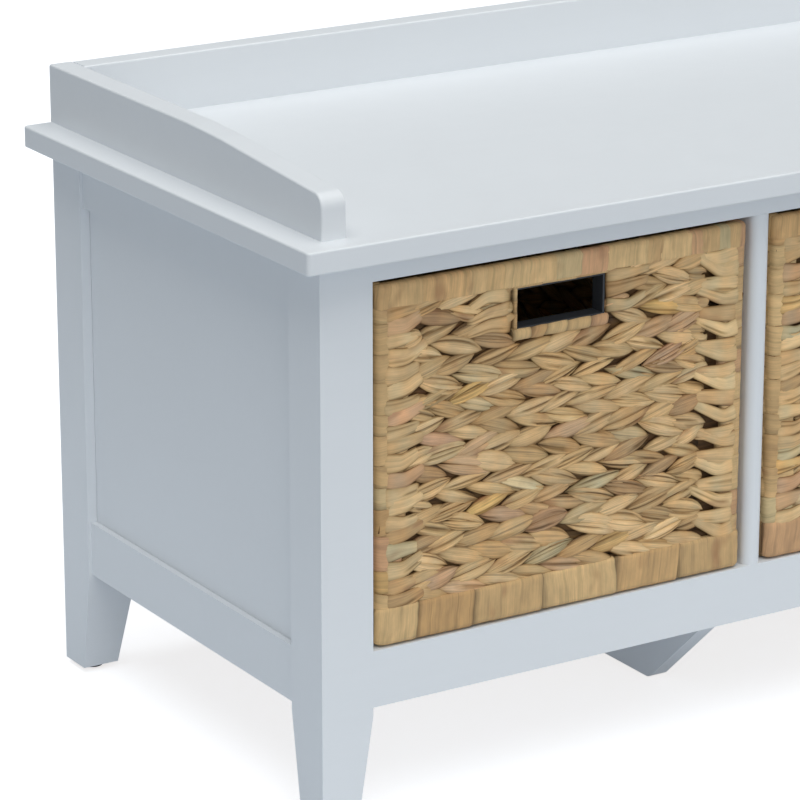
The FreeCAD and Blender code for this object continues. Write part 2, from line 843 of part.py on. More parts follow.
def bench():
    """Every piece of the bench, with its holes cut."""
    boards = {"left": "-cubby_pitch / 2", "right": "cubby_pitch / 2"}
    rail_holes = dowels("rail_holes", "rail_dowel", rail_joints(), "dowel_play")
    keep("rail_dowels", dowels("rail_dowels", "rail_dowel", rail_joints(), 0))
    joints = board_joints(boards.values())
    board_holes = dowels("board_holes", "board_dowel", joints, "dowel_play")
    keep("board_dowels", dowels("board_dowels", "board_dowel", joints, 0))

    fastenings = {
        "gallery_screws": ("gallery_screw_length", gallery_screw_places()),
        "divider_screws": ("divider_screw_length", divider_screw_places(boards.values())),
        "top_cleat_screws": ("cleat_screw_length", cleat_screw_places("slab_under - cleat_size")),
        "shelf_cleat_screws": ("cleat_screw_length", cleat_screw_places("shelf_under - cleat_size")),
    }
    holes = {}
    for name, (length, places) in fastenings.items():
        keep(name, screws(name, length, places, 0))
        holes[name] = screws(f"{name}_holes", length, places, "screw_play")

    top_tools = [holes["gallery_screws"], holes["top_cleat_screws"], board_holes]
    top_holes = group("top_holes", top_tools)
    keep("seat_top", cut("seat_top", seat_slab(), top_holes))
    for name, side in (("left", -1), ("right", 1)):
        rail = f"gallery_{name}"
        keep(rail, cut(rail, gallery_side(rail, side), holes["gallery_screws"]))
    keep("gallery_back", cut("gallery_back", gallery_back(), holes["gallery_screws"]))

    for name, side in (("left", -1), ("right", 1)):
        for place, end in (("front", -1), ("rear", 1)):
            post = f"{place}_{name}_leg"
            keep(post, cut(post, leg(post, side, end), rail_holes))
        for place, upper in (("upper", True), ("lower", False)):
            rail = f"{name}_{place}_rail"
            keep(rail, cut(rail, side_rail(rail, side, upper), rail_holes))
        keep(f"{name}_side_panel", side_panel(f"{name}_side_panel", side))
        for place, top in (("top", "slab_under"), ("shelf", "shelf_under")):
            strip = f"{name}_{place}_cleat"
            blank = cleat(f"{strip}_blank", side, top)
            keep(strip, cut(strip, blank, holes[f"{place}_cleat_screws"]))
    for name, upper in (("rear_top_rail", True), ("rear_apron", False)):
        keep(name, cut(name, rear_rail(name, upper), rail_holes))

    front = ("-leg_in_x", "leg_in_x"), ("front_rail_y", "front_rail_in_y")
    top_rail = box("front_top_rail_blank", *front, ("front_rail_bottom", "slab_under"))
    keep("front_top_rail", cut("front_top_rail", top_rail, rail_holes))
    apron = box("front_apron_blank", *front, ("apron_bottom", "shelf_top"))
    keep("front_apron", cut("front_apron", apron, rail_holes))
    across = ("-leg_in_x - groove_depth", "leg_in_x + groove_depth")
    upright = ("groove_bottom", "groove_top")
    keep("back_panel", box("back_panel", across, ("panel_in_y", "panel_out_y"), upright))

    board_tools = group("divider_holes", [holes["divider_screws"], board_holes])
    shelf_tools = group("shelf_holes", [board_tools, holes["shelf_cleat_screws"]])
    keep("shelf", cut("shelf", shelf_blank(), shelf_tools))
    for name, centre_x in boards.items():
        board = f"{name}_divider"
        keep(board, cut(board, divider_blank(board, centre_x), board_tools))
        stand = f"{name}_foot_board"
        keep(stand, cut(stand, foot_board_blank(stand, centre_x), board_holes))
    keep("leg_glides", glides())


def check_all():
    """Stop if any object failed or any sub-part is not a sound solid."""
    failed = [item.Name for item in doc.Objects if {"Invalid", "Error"} & set(item.State)]
    for name, piece in nodes.items():
        shape = piece.Shape
        if shape.isNull() or not shape.isValid() or not shape.Solids:
            failed.append(name)
    if failed:
        raise ValueError(f"failed: {failed}")


def write_all():
    """Write each sub-part to its own file."""
    os.makedirs("parts", exist_ok=True)
    for name, piece in nodes.items():
        piece.Shape.exportStep(os.path.join("parts", f"{name}.step"))


fill_sheet()
bench()
for basket_name, place in (("left_basket", -1), ("middle_basket", 0), ("right_basket", 1)):
    basket(basket_name, f"{place} * cubby_pitch")
doc.recompute()
check_all()
write_all()
for node_name, node in nodes.items():
    print(f"{node_name}: {len(node.Shape.Solids)} solids, {node.Shape.Volume / 1000:.1f} cm3")
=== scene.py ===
"""Looks of the entryway bench: satin white paint on the joinery and three baskets of plaited leaf.

Every length is in metres in the row frame: the floor is z = 0, the front faces -Y and +X is to the right.
"""

import math

import bpy
import numpy as np
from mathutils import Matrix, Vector


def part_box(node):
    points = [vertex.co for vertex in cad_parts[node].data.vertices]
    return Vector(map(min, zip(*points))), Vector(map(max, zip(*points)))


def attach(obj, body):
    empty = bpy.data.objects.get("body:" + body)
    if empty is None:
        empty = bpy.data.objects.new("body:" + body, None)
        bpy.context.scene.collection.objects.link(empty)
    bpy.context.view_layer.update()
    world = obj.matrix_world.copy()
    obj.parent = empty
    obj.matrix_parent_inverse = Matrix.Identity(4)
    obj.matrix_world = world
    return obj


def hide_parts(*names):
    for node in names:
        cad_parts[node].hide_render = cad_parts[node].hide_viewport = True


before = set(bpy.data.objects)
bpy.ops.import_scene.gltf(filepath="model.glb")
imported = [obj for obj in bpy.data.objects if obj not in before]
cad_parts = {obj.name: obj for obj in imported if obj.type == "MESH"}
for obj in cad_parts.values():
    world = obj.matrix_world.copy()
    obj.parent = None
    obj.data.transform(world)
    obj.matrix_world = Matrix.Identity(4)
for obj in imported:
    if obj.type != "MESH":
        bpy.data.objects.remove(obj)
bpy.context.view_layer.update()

MM = 0.001
BASKETS = ("left_basket", "middle_basket", "right_basket")
FIRST_SEED = 11


# ---------------------------------------- colours

def linear(red, green, blue):
    """The linear colour of an sRGB colour whose parts run from 0 to 255."""
    return tuple(((part / 255 + 0.055) / 1.055) ** 2.4 for part in (red, green, blue))


PAINT = linear(231, 235, 239)
BARE_WOOD = linear(205, 178, 140)
STEEL = linear(178, 176, 170)
WIRE_COAT = linear(72, 62, 52)
PLASTIC = linear(56, 58, 62)
# Painted shade seen in the plait's gaps, on the board inside it.
GAP_SHADE = linear(112, 80, 46)
BRUISE = linear(150, 98, 66)

# Dried water hyacinth, in the plait and in the wound bands: a colour and how often a leaf has it.
LEAF_COLOURS = (
    (linear(232, 194, 140), 0.25),
    (linear(219, 181, 126), 0.30),
    (linear(203, 163, 110), 0.17),
    (linear(214, 192, 146), 0.09),
    (linear(214, 170, 132), 0.09),
    (linear(226, 182, 110), 0.03),
    (linear(182, 143, 99), 0.06),
    (linear(168, 114, 86), 0.02),
)
BAND_COLOURS = (
    (linear(227, 192, 138), 0.34),
    (linear(218, 181, 128), 0.32),
    (linear(203, 162, 110), 0.18),
    (linear(208, 188, 143), 0.04),
    (linear(209, 163, 122), 0.09),
    (linear(222, 178, 110), 0.03),
)


# ---------------------------------------- materials

# Nearly all of a noise texture's values lie between these.
NOISE_RANGE = (0.3, 0.7)


class Shader:
    """A material's node tree, with short ways to add and join its nodes."""

    def __init__(self, name):
        self.material = bpy.data.materials.new(name)
        self.material.use_nodes = True
        self.tree = self.material.node_tree
        self.surface = self.tree.nodes["Principled BSDF"]

    def set(self, **values):
        """Sets the surface's own sockets; Base_Color stands for "Base Color"."""
        for key, value in values.items():
            self.surface.inputs[key.replace("_", " ")].default_value = value

    def link(self, source, target):
        self.tree.links.new(source, target)

    def node(self, kind, **inputs):
        made = self.tree.nodes.new(kind)
        for key, value in inputs.items():
            socket = made.inputs[key.replace("_", " ")]
            if isinstance(value, bpy.types.NodeSocket):
                self.link(value, socket)
            else:
                socket.default_value = value
        return made

    def noise(self, vector, scale, detail=3.0, roughness=0.55):
        made = self.node("ShaderNodeTexNoise", Vector=vector, Scale=scale, Detail=detail, Roughness=roughness)
        return made.outputs["Fac"]

    def place(self):
        return self.node("ShaderNodeTexCoord").outputs["Object"]

    def stretched(self, vector, scale):
        made = self.node("ShaderNodeMapping", Vector=vector, Scale=scale)
        return made.outputs["Vector"]

    def spread(self, value, low, high, to_low, to_high):
        """value, with low to high mapped onto to_low to to_high and clamped."""
        made = self.tree.nodes.new("ShaderNodeMapRange")
        self.link(value, made.inputs["Value"])
        for key, number in (("From Min", low), ("From Max", high), ("To Min", to_low), ("To Max", to_high)):
            made.inputs[key].default_value = number
        return made.outputs["Result"]

    def shaded(self, colour, value):
        """colour times value."""
        made = self.tree.nodes.new("ShaderNodeVectorMath")
        made.operation = "SCALE"
        if isinstance(colour, bpy.types.NodeSocket):
            self.link(colour, made.inputs[0])
        else:
            made.inputs[0].default_value = colour
        self.link(value, made.inputs["Scale"])
        return made.outputs["Vector"]

    def vary_colour(self, colour, noise, darkest, palest):
        """Gives the surface a colour that a noise moves between darkest and palest times itself."""
        tone = self.spread(noise, *NOISE_RANGE, darkest, palest)
        self.link(self.shaded(colour, tone), self.surface.inputs["Base Color"])

    def vary_roughness(self, noise, least, most):
        self.link(self.spread(noise, *NOISE_RANGE, least, most), self.surface.inputs["Roughness"])

    def stained(self, colour, share):
        """colour, with a share of it turned to the red-brown of a bruised leaf."""
        made = self.tree.nodes.new("ShaderNodeMix")
        made.data_type = "RGBA"
        self.link(share, made.inputs[0])
        self.link(colour, made.inputs[6])
        made.inputs[7].default_value = (*BRUISE, 1)
        return made.outputs[2]

    def math(self, operation, first, second):
        made = self.tree.nodes.new("ShaderNodeMath")
        made.operation = operation
        for socket, value in zip(made.inputs, (first, second)):
            if isinstance(value, bpy.types.NodeSocket):
                self.link(value, socket)
            else:
                socket.default_value = value
        return made.outputs["Value"]

    def bump(self, *layers):
        """Bump from (height, strength, distance) layers, coarse ones first."""
        normal = None
        for height, strength, distance in layers:
            made = self.node("ShaderNodeBump", Height=height, Strength=strength, Distance=distance)
            if normal is not None:
                self.link(normal, made.inputs["Normal"])
            normal = made.outputs["Normal"]
        self.link(normal, self.surface.inputs["Normal"])


def paint_material():
    """Sprayed satin lacquer: nearly even, with faint orange peel and a slightly uneven gloss."""
    shader = Shader("white_satin_paint")
    place = shader.place()
    cloud = shader.noise(place, 7.0, 2.0)
    peel = shader.noise(place, 900.0, 2.0)
    ripple = shader.noise(place, 55.0, 2.0)
    grain = shader.noise(shader.stretched(place, (14.0, 160.0, 160.0)), 1.0, 4.0)
    cloudiness = shader.spread(cloud, *NOISE_RANGE, 0.985, 1.0)
    graininess = shader.spread(grain, *NOISE_RANGE, 0.993, 1.0)
    tone = shader.math("MULTIPLY", cloudiness, graininess)
    shader.link(shader.shaded(PAINT, tone), shader.surface.inputs["Base Color"])
    shader.vary_roughness(ripple, 0.36, 0.44)
    shader.set(IOR=1.48)
    shader.bump((ripple, 0.10, 0.0004), (peel, 0.08, 0.0001))
    return shader.material


def wood_material():
    """Bare rubberwood of the hidden dowels."""
    shader = Shader("bare_wood")
    place = shader.place()
    rings = shader.noise(shader.stretched(place, (30.0, 400.0, 400.0)), 1.0, 5.0)
    shader.vary_colour(BARE_WOOD, rings, 0.78, 1.08)
    shader.set(Roughness=0.7)
    shader.bump((rings, 0.3, 0.0003))
    return shader.material


def steel_material():
    """Zinc plated screws, lightly scuffed."""
    shader = Shader("plated_steel")
    scuff = shader.noise(shader.place(), 700.0, 4.0)
    shader.vary_colour(STEEL, scuff, 0.8, 1.0)
    shader.vary_roughness(scuff, 0.28, 0.45)
    shader.set(Metallic=1.0)
    shader.bump((scuff, 0.15, 0.0001))
    return shader.material


def wire_material():
    """Powder coat on the baskets' wire."""
    shader = Shader("powder_coat")
    speck = shader.noise(shader.place(), 1500.0, 2.0)
    shader.vary_colour(WIRE_COAT, speck, 0.85, 1.1)
    shader.set(Roughness=0.55)
    shader.bump((speck, 0.2, 0.0001))
    return shader.material


def plastic_material():
    """Black moulded plastic with a fine spark-eroded grain."""
    shader = Shader("black_moulded_plastic")
    grain = shader.noise(shader.place(), 2200.0, 2.0)
    shader.vary_colour(PLASTIC, grain, 0.85, 1.15)
    shader.set(Roughness=0.48)
    shader.bump((grain, 0.25, 0.0001))
    return shader.material


def leaf_material(name, line_scale, line_depth, contrast):
    """Dried leaf. The mesh carries each leaf's tint, with painted shade in it, and the fibre attribute runs
    along and across it.

    line_scale is how fine its fibres are, line_depth their depth, contrast how dark the lines between them
    and how dark the painted shade in its folds.
    """
    shader = Shader(name)
    tint = shader.node("ShaderNodeAttribute")
    tint.attribute_name = "tint"
    fibre = shader.node("ShaderNodeAttribute")
    fibre.attribute_name = "fibre"
    along = fibre.outputs["Vector"]
    lines = shader.noise(shader.stretched(along, (30.0, line_scale, 1.0)), 1.0, 4.0, 0.6)
    folds = shader.noise(shader.stretched(along, (12.0, line_scale * 0.30, 1.0)), 1.0, 2.0)
    blotch = shader.noise(shader.stretched(along, (55.0, 130.0, 1.0)), 1.0, 3.0)
    stain = shader.noise(shader.stretched(along, (28.0, 60.0, 1.0)), 1.0, 2.0)
    speck = shader.noise(shader.place(), 1400.0, 2.0)
    tone = shader.spread(lines, 0.32, 0.66, 1.06 - 0.34 * contrast, 1.06)
    tone = shader.math("MULTIPLY", tone, shader.spread(blotch, *NOISE_RANGE, 0.84, 1.08))
    # Darker along the folds that the bump presses in: painted shade in the creases.
    tone = shader.math("MULTIPLY", tone, shader.spread(folds, 0.32, 0.44, 1 - 0.36 * contrast, 1.0))
    colour = shader.shaded(tint.outputs["Color"], tone)
    bruised = shader.spread(stain, 0.60, 0.78, 0.0, 0.55)
    shader.link(shader.stained(colour, bruised), shader.surface.inputs["Base Color"])
    shader.vary_roughness(blotch, 0.50, 0.68)
    shader.set(IOR=1.42)
    shader.bump((folds, 0.7, line_depth * 2), (lines, 0.8, line_depth), (speck, 0.15, 0.1 * MM))
    return shader.material


def gap_shade_material():
    """Dark brown painted shade on the board inside the plait, which shows only in its gaps."""
    shader = Shader("painted_gap_shade")
    gap_streaks = shader.noise(shader.stretched(shader.place(), (60.0, 60.0, 700.0)), 1.0, 3.0)
    shader.vary_colour(GAP_SHADE, gap_streaks, 0.6, 1.2)
    shader.set(Roughness=0.85)
    shader.bump((gap_streaks, 0.3, 0.0003))
    return shader.material


# ---------------------------------------- meshes of leaf

CORNER_STEPS = 9
LEAST_OUTLINE = 8


class LeafMesh:
    """Gathers tubes and strips of leaf into one mesh, with a tint, painted shade included, and fibre
    coordinates at every vertex.
    """

    def __init__(self):
        self.points = []
        self.tints = []
        self.fibres = []
        self.quads = []
        self.caps = []
        self.count = 0

    def tube(self, points, tints, fibres):
        """Adds a closed tube. Each array is rings x columns x 3; columns run anticlockwise round the tube."""
        rings, columns, _ = points.shape
        index = self.count + np.arange(rings * columns).reshape(rings, columns)
        following = np.roll(index, -1, axis=1)
        quads = np.stack([index[:-1], following[:-1], following[1:], index[1:]], axis=-1)
        self.quads.append(quads.reshape(-1, 4))
        self.caps += [index[0][::-1].tolist(), index[-1].tolist()]
        self.points.append(points.reshape(-1, 3))
        self.tints.append(np.broadcast_to(tints, points.shape).reshape(-1, 3))
        self.fibres.append(fibres.reshape(-1, 3))
        self.count += rings * columns

    def piece(self, name, material):
        mesh = bpy.data.meshes.new(name)
        points = np.concatenate(self.points)
        faces = np.concatenate(self.quads).tolist() + self.caps
        mesh.from_pydata(points.tolist(), [], faces)
        mesh.shade_smooth()
        tint = mesh.attributes.new("tint", "FLOAT_COLOR", "POINT")
        colours = np.concatenate([np.concatenate(self.tints), np.ones((len(points), 1))], axis=1)
        tint.data.foreach_set("color", colours.astype(np.float32).ravel())
        fibre = mesh.attributes.new("fibre", "FLOAT_VECTOR", "POINT")
        fibre.data.foreach_set("vector", np.concatenate(self.fibres).astype(np.float32).ravel())
        mesh.materials.append(material)
        made = bpy.data.objects.new(name, mesh)
        bpy.context.scene.collection.objects.link(made)
        return made


def wander(rng, places, wavelength, size):
    """A smooth random wave over places, about size high."""
    total = np.zeros_like(places, dtype=float)
    for share in (1.7, 1.0, 0.55):
        turns = places / (wavelength * share) + rng.uniform()
        total += np.sin(2 * math.pi * turns) * rng.uniform(0.4, 0.8)
    return total * size * 0.6


def leaf_fibres(rng, along, across, outwards):
    """A leaf's fibre coordinates. A random seed gives each leaf a place of its own in the textures."""
    seed = rng.uniform(0, 9)
    return np.stack(np.broadcast_arrays(along + seed * 0.13, across + seed * 0.31, seed + outwards), axis=-1)


def pick(rng, colours):
    """A random tint from a table of colours and shares, a little lighter or darker."""
    shares = np.array([share for _, share in colours])
    tints = np.array([colour for colour, _ in colours])
    usual = shares @ tints / shares.sum()
    chosen = tints[rng.choice(len(colours), p=shares / shares.sum())]
    return (chosen + rng.uniform(0, 0.6) * (usual - chosen)) * rng.uniform(0.88, 1.08)


def rounded_outline(corners, radii, spacing):
    """Points about spacing apart round an anticlockwise outline with rounded corners.

    It also gives their outward normals and their distances round the outline.
    """
    dense = []
    corners = [np.array(corner, float) for corner in corners]
    for place, (corner, radius) in enumerate(zip(corners, radii)):
        back = corners[place - 1] - corner
        ahead = corners[(place + 1) % len(corners)] - corner
        back /= np.linalg.norm(back)
        ahead /= np.linalg.norm(ahead)
        for share in np.linspace(0, 1, CORNER_STEPS):
            dense.append(corner + radius * (back * (1 - share) ** 2 + ahead * share ** 2))
    dense = np.array(dense + [dense[0]])
    lengths = np.concatenate([[0], np.cumsum(np.linalg.norm(np.diff(dense, axis=0), axis=1))])
    number = max(LEAST_OUTLINE, round(lengths[-1] / spacing))
    places = np.linspace(0, lengths[-1], number, endpoint=False)
    points = np.stack([np.interp(places, lengths, dense[:, axis]) for axis in (0, 1)], axis=1)
    tangents = np.roll(points, -1, axis=0) - np.roll(points, 1, axis=0)
    tangents /= np.linalg.norm(tangents, axis=1)[:, None]
    normals = np.stack([tangents[:, 1], -tangents[:, 0]], axis=1)
    return points, normals, places


# ---------------------------------------- plaited walls

# One lobe is the part of a strand that shows before the next turn covers it.
LOBE_SPACING = 28 * MM
LOBE_LENGTH = 45 * MM
LOBE_WIDTH = 13.0 * MM
LOBE_THICKNESS = 5.4 * MM
LOBE_TILT = math.radians(14)
LOBE_CREST = 0.5 * MM
LOBE_BOW = 0.7 * MM
# A lobe's middle lies this share of its row's height away from the row's middle.
LOBE_OFFSET = 0.245
# How full a lobe's two ends are: higher powers are blunter.
POINT_POWERS = (2.1, 3.0)
BLUNT_POWER = 9
LEAST_TAPER = 0.03
# How deep a lobe's two ends and its row's two edges lie below its middle, and how late each end dives.
START_DIVE, START_DIVE_POWER = 2.4 * MM, 1.6
END_DIVE, END_DIVE_POWER = 0.8 * MM, 5
ROW_CROWN = 1.5 * MM
# Some lobes are two leaves side by side: how many, how far apart and how wide, as shares of one.
SPLIT_SHARE = 0.30
SPLIT_SHIFT = 0.48
SPLIT_WIDTH = 0.60
# Rings and columns of a lobe on the two sides of a wall, and of the basket's floor.
WALL_MESHES = ((12, 16), (7, 8))
FLOOR_MESHES = ((8, 9), (7, 8))
SHOWN_SHARE = 0.75
EVEN_ROW = 21.5 * MM
ROW_RAGGED = 4 * MM
INSIDE_TUCK = 9 * MM
ROW_WAVE, ROW_WAVE_HEIGHT, ROW_WAVE_POINTS = 150 * MM, 0.9 * MM, 60
STRAIGHT_EDGE = 0.2
# A row is cut at the hand hole if it reaches this far above the hole's foot.
HOLE_ROW = 6 * MM
# A strand's section: how square it is, and how uneven its back is.
SHAPE_POWER = 0.62
RIDGE_SPREAD = 0.09
# Strands hidden inside the plait.
UNDER_DEPTH = 4.2 * MM
UNDER_STEP = 12 * MM
UNDER_WIDTH = 12 * MM
UNDER_THICKNESS = 2 * MM
UNDER_COLUMNS = 8
# How dark the plait's hollows are painted, as painted shade, and how pale its crests, against the depth below
# its face.
HOLLOW_DEPTHS = (0.0 * MM, 0.9 * MM, 1.7 * MM, 2.5 * MM, 3.5 * MM)
HOLLOW_SHADES = (1.24, 1.00, 0.49, 0.22, 0.13)
# Painted shade along a strand's two sides and at its ends: how much darker it is there, and how near them the
# shade starts.
SIDE_SHADE, SIDE_POWER = 0.84, 6
TIP_SHADE, TIP_POWER = 0.5, 9
# The painted shade falls off less in red than in blue, so the hollows are brown.
SHADE_POWERS = (0.85, 1.0, 1.3)
LEAF_WARMTH = 0.07
WARMTH_WAVE = 30 * MM


class Face:
    """One wall of a basket: u runs to the right and v up as seen from outside, and n points outwards."""

    def __init__(self, origin, right, up, depth):
        self.depth = depth
        self.origin = np.array(origin, float)
        self.axes = np.array([right, up, np.cross(right, up)], float)

    def place(self, points):
        return self.origin + points @ self.axes


def section_turns(columns, outside):
    """Angles round a strand's section, most of them on the side that shows."""
    shown = round(columns * SHOWN_SHARE)
    turns = np.concatenate([
        np.linspace(0, math.pi, shown),
        np.linspace(math.pi, 2 * math.pi, columns - shown + 2)[1:-1],
    ])
    return turns if outside else turns[::-1] * -1


def leaf_folds(rng, rings, columns, number):
    """Sharp folds along a strand, as the share of its thickness that each vertex is pressed in."""
    folds = np.zeros((rings, columns))
    shares = np.linspace(0, 1, rings)
    for _ in range(number):
        column = rng.integers(2, max(3, round(columns * SHOWN_SHARE) - 2))
        start, reach = rng.uniform(-0.5, 0.5), rng.uniform(0.5, 1.0)
        fade = np.clip(np.minimum(shares - start, start + reach - shares) / 0.15, 0, 1)
        folds[:, column] = np.maximum(folds[:, column], rng.uniform(0.25, 0.60) * fade)
    return folds


def strand(leaves, face, centre, width, thickness, tint, rng, columns, folds=2, outside=True):
    """Adds one flattened bundle of leaf. centre is rings x 3 in the face's own (u, v, n)."""
    rings = len(centre)
    forward = np.gradient(centre, axis=0)
    forward /= np.linalg.norm(forward, axis=1)[:, None]
    sideways = np.cross([0.0, 0.0, 1.0], forward)
    sideways /= np.linalg.norm(sideways, axis=1)[:, None]
    outwards = np.cross(forward, sideways)
    turn = section_turns(columns, outside)
    across = np.cos(turn)
    pressed = leaf_folds(rng, rings, columns, folds)
    ridges = rng.normal(0, RIDGE_SPREAD, size=columns)
    bulge = np.sign(np.sin(turn)) * np.abs(np.sin(turn)) ** SHAPE_POWER * (1 + ridges - pressed)
    side = sideways[:, None, :] * (width[:, None] / 2 * across)[:, :, None]
    lift = outwards[:, None, :] * (thickness[:, None] / 2 * bulge)[:, :, None]
    points = centre[:, None, :] + side + lift
    # Painted shade in the tint: darker deeper below the face, along the sides, at the ends and in the pressed
    # folds, and paler on the crests.
    below = np.minimum(-points[:, :, 2], points[:, :, 2] + face.depth)
    shade = np.interp(below, HOLLOW_DEPTHS, HOLLOW_SHADES) * (1 - SIDE_SHADE * np.abs(across) ** SIDE_POWER)
    tips = np.linspace(-1, 1, rings)
    shade = shade * (1 - pressed) * (1 - TIP_SHADE * np.abs(tips) ** TIP_POWER)[:, None]
    travelled = np.concatenate([[0], np.cumsum(np.linalg.norm(np.diff(centre, axis=0), axis=1))])
    warmth = wander(rng, travelled, WARMTH_WAVE, LEAF_WARMTH)[:, None, None] * (1, 0, -1)
    tints = tint * (1 + warmth) * shade[:, :, None] ** SHADE_POWERS
    spread = 0.5 * width + 0.5 * width.max()
    fibres = leaf_fibres(
        rng, travelled[:, None], spread[:, None] / 2 * across[None, :], 0.004 * np.sin(turn)[None, :])
    leaves.tube(face.place(points), tints, fibres)


def lobe(leaves, face, place, length, blunt, half, level, height, depth, outside, mesh, rng):
    """One visible turn of a strand: it comes up from under the turn before it and its point lies on the next.

    blunt says which of its two ends is cut short. Some turns are split into two leaves side by side.
    """
    rings, columns = mesh
    shares = np.sin(np.linspace(-1, 1, rings) * math.pi / 2)
    tilt = LOBE_TILT * rng.uniform(0.7, 1.3)
    along = length / 2 * shares
    bow = rng.normal(0, LOBE_BOW)
    off_middle = height * LOBE_OFFSET + math.sin(tilt) * along + bow * (1 - shares ** 2)
    start_power, end_power = POINT_POWERS[0], rng.uniform(*POINT_POWERS)
    if blunt[0]:
        start_power = BLUNT_POWER
    if blunt[1]:
        end_power = BLUNT_POWER
    taper = 1 - np.abs(shares) ** np.where(shares < 0, start_power, end_power)
    taper = np.clip(taper, LEAST_TAPER, 1) ** 0.9
    width = LOBE_WIDTH * rng.uniform(0.90, 1.14) * height / EVEN_ROW
    thickness = LOBE_THICKNESS * rng.uniform(0.85, 1.1) * (0.35 + 0.65 * taper)
    start_dive = START_DIVE * np.abs(shares) ** START_DIVE_POWER
    end_dive = END_DIVE * np.abs(shares) ** END_DIVE_POWER
    dive = np.where(shares < 0, start_dive, end_dive) + ROW_CROWN * (off_middle / (height / 2)) ** 2
    tint = pick(rng, LEAF_COLOURS)
    leaves_side_by_side = 2 if rng.uniform() < SPLIT_SHARE else 1
    for turn in range(leaves_side_by_side):
        shift, share = 0.0, 1.0
        if leaves_side_by_side == 2:
            shift = (turn - 0.5) * width * SPLIT_SHIFT * taper
            share = SPLIT_WIDTH
        thick = thickness * (0.5 + 0.5 * share)
        out = LOBE_CREST - thick / 2 - dive + rng.normal(0, 0.2 * MM)
        if not outside:
            out = -depth - out
        lean = rng.normal(0, 0.03) * along
        centre = np.stack([
            place + math.cos(tilt) * along + rng.normal(0, 1 * MM),
            level + half * (off_middle + shift + lean),
            out,
        ], axis=1)
        strand(leaves, face, centre, width * taper * share, thick, tint * rng.uniform(0.90, 1.08), rng,
               columns, rng.integers(1, 4), outside)


def under_strand(leaves, face, start, end, level, depth, outside, rng):
    """A strand inside the plait, which shows only as shade between the outer turns."""
    places = np.arange(start, end, UNDER_STEP)
    if len(places) < 4:
        return
    out = -UNDER_DEPTH if outside else -depth + UNDER_DEPTH
    centre = np.stack([
        places,
        level + wander(rng, places, 40 * MM, 1.5 * MM),
        out + wander(rng, places, 35 * MM, 0.4 * MM),
    ], axis=1)
    width = UNDER_WIDTH * (1 + wander(rng, places, 30 * MM, 0.2))
    thickness = np.full(len(places), UNDER_THICKNESS)
    strand(leaves, face, centre, width, thickness, pick(rng, LEAF_COLOURS), rng, UNDER_COLUMNS, 0, outside)


def plait_row(leaves, face, start, end, ragged, middle, height, depth, meshes, rng):
    """One flat plait along u, seen from both sides, whose chevrons point back towards its start.

    ragged is how far the ends of its turns stray at its start and at its end.
    """
    ends_middle = np.array([(start + end) / 2])
    for outside, mesh in zip((True, False), meshes):
        for share in (-0.5, 0):
            level = middle(ends_middle)[0] + share * height(ends_middle)[0]
            under_strand(leaves, face, start, end, level, depth, outside, rng)
        first = rng.uniform(-1, 0)
        for half in (1, -1):
            place = start + LOBE_SPACING * (first + (0.5 if half < 0 else 0))
            row_start = start + rng.uniform(-1, 1) * ragged[0]
            row_end = end + rng.uniform(-1, 0.5) * ragged[1]
            if not outside:
                row_start = start - (INSIDE_TUCK if ragged[0] else 0)
                row_end = end + (INSIDE_TUCK if ragged[1] else 0)
            while place < row_end:
                length = LOBE_LENGTH * rng.uniform(0.85, 1.12)
                near, far = max(place, row_start), min(place + length, row_end)
                if far - near > LOBE_WIDTH:
                    centre = (near + far) / 2
                    at = np.array([centre])
                    blunt = (near > place + LOBE_WIDTH, far < place + length - LOBE_WIDTH)
                    lobe(leaves, face, centre, far - near, blunt, half, middle(at)[0], height(at)[0], depth,
                         outside, mesh, rng)
                place += LOBE_SPACING * rng.uniform(0.82, 1.18)


def row_edges(rng, bottom, top, number):
    """The heights of the boundaries of number rows, a little uneven, from top down to bottom."""
    heights = rng.uniform(0.86, 1.14, size=number)
    falls = np.concatenate([[0], np.cumsum(heights)]) / heights.sum()
    return top - falls * (top - bottom)


def plaited_wall(name, face, span, bottom, top, number, depth, rng, material, hole=None, meshes=WALL_MESHES,
                 ragged=ROW_RAGGED):
    """Rows of plait over span (start, end).

    hole is (start, end, bottom) of an opening that reaches the top, and ragged how uneven the rows' ends are.
    """
    leaves = LeafMesh()
    edges = row_edges(rng, bottom, top, number)
    grid = np.linspace(*span, ROW_WAVE_POINTS)
    waves = [wander(rng, grid, ROW_WAVE, ROW_WAVE_HEIGHT) for _ in edges]
    waves[0] *= STRAIGHT_EDGE
    waves[-1] *= STRAIGHT_EDGE

    def boundary(place, places):
        return edges[place] + np.interp(places, grid, waves[place])

    for row in range(number):
        def middle(places, row=row):
            return (boundary(row, places) + boundary(row + 1, places)) / 2

        def height(places, row=row):
            return boundary(row, places) - boundary(row + 1, places)

        stretches = [(*span, (ragged, ragged))]
        if hole is not None and edges[row] - hole[2] > HOLE_ROW:
            stretches = [(span[0], hole[0], (ragged, 0)), (hole[1], span[1], (0, ragged))]
        for start, end, stray in stretches:
            plait_row(leaves, face, start, end, stray, middle, height, depth, meshes, rng)
    return leaves.piece(name, material), edges


# ---------------------------------------- wound bands

STRIP_OVERLAP = 2.5 * MM
STRIP_EDGE = 0.6 * MM
STRIP_RING = 3.5 * MM
# How far from its seam a strip carries painted shade.
SEAM_SHADE_REACH = 4 * MM
# The share of an arm that a tongue leaves alone.
TONGUE_START = 0.35
PATH_STEP = 2 * MM
CORNER_ROUND = 6 * MM
BAND_ROUND = 2.8 * MM
BAND_OUTLINE_STEP = 2.0 * MM
CORNER_OUTLINE_STEP = 2.4 * MM
# A corner band's roundings: one arm's edges, the inner corner, the other arm's edges, the outer corner.
CORNER_RADII = (3 * MM, 3 * MM, 2 * MM, 3 * MM, 3 * MM, 6 * MM)


